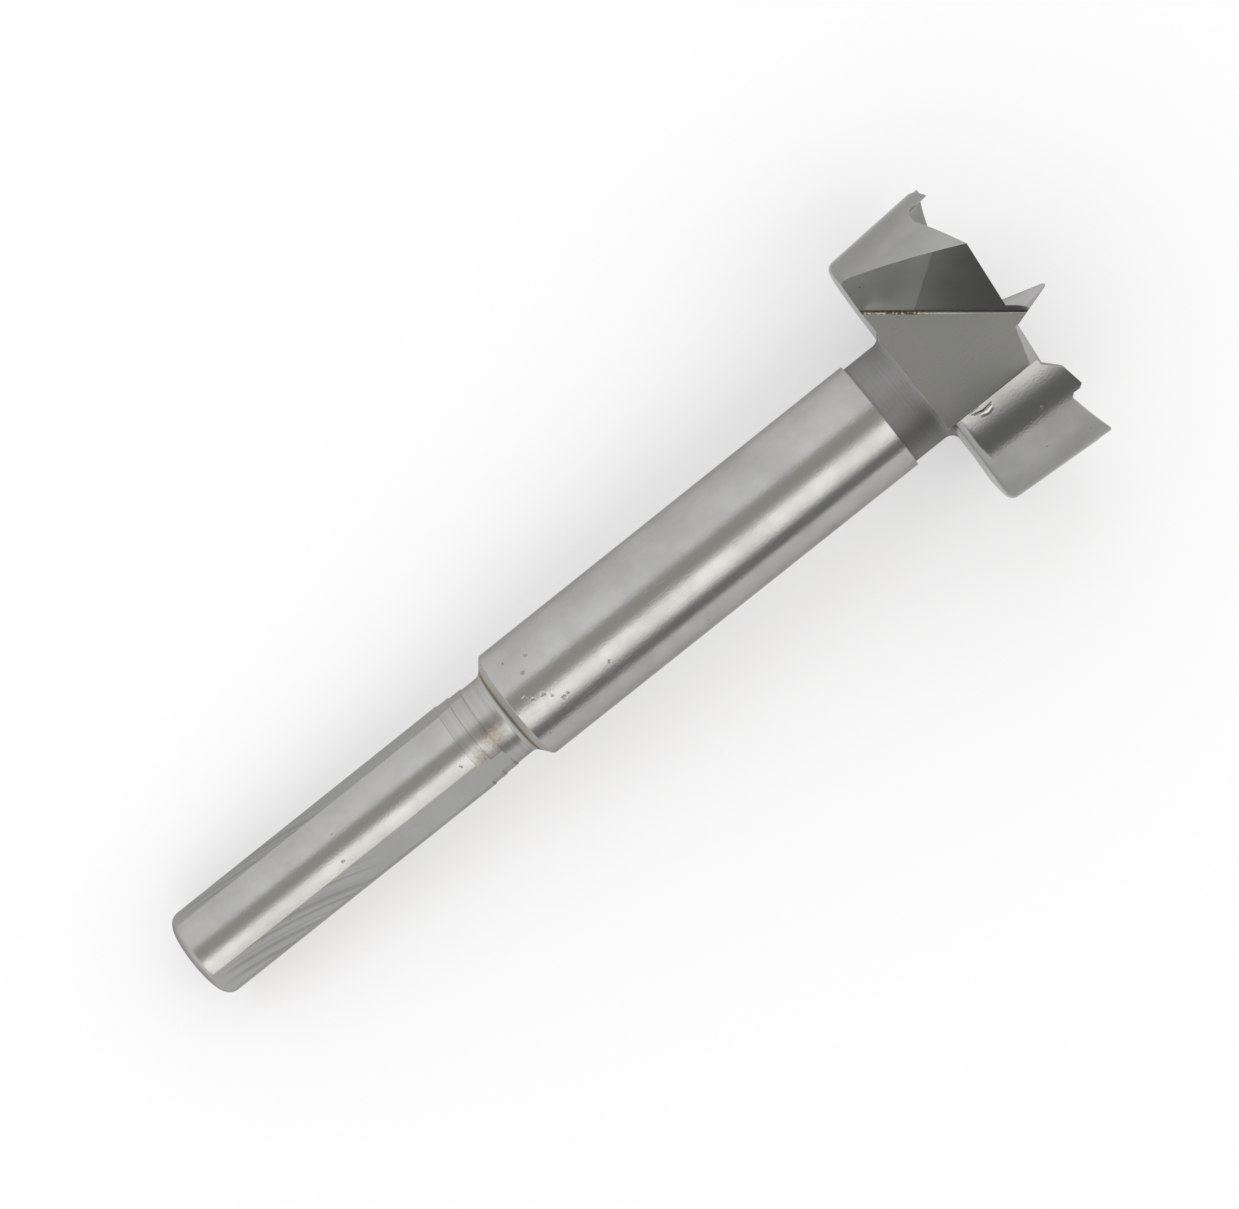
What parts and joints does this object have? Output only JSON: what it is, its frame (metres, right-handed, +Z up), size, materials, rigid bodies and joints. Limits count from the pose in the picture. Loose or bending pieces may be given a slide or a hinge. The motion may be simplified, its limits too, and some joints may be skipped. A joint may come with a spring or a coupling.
{
  "type": "forstner bit",
  "caption": "Steel Forstner bit for boring flat-bottomed holes in wood, with radial lips, chip gullets, a saw-toothed rim, a centre point and a shank with chuck flats.",
  "frame": {"origin": "middle of the footprint, on the surface the bit lies on", "axes": "+X runs along the bit towards its centre point, which is a little raised, +Z is up; the bit lies on two corners of its rim and one edge of its shank"},
  "size_m": [0.0876, 0.025, 0.0228],
  "materials": {
    "ground_steel": "ground and worn, satin"
  },
  "bodies": {
    "root": {"forstner_bit": "ground_steel"}
  },
  "joints": []
}
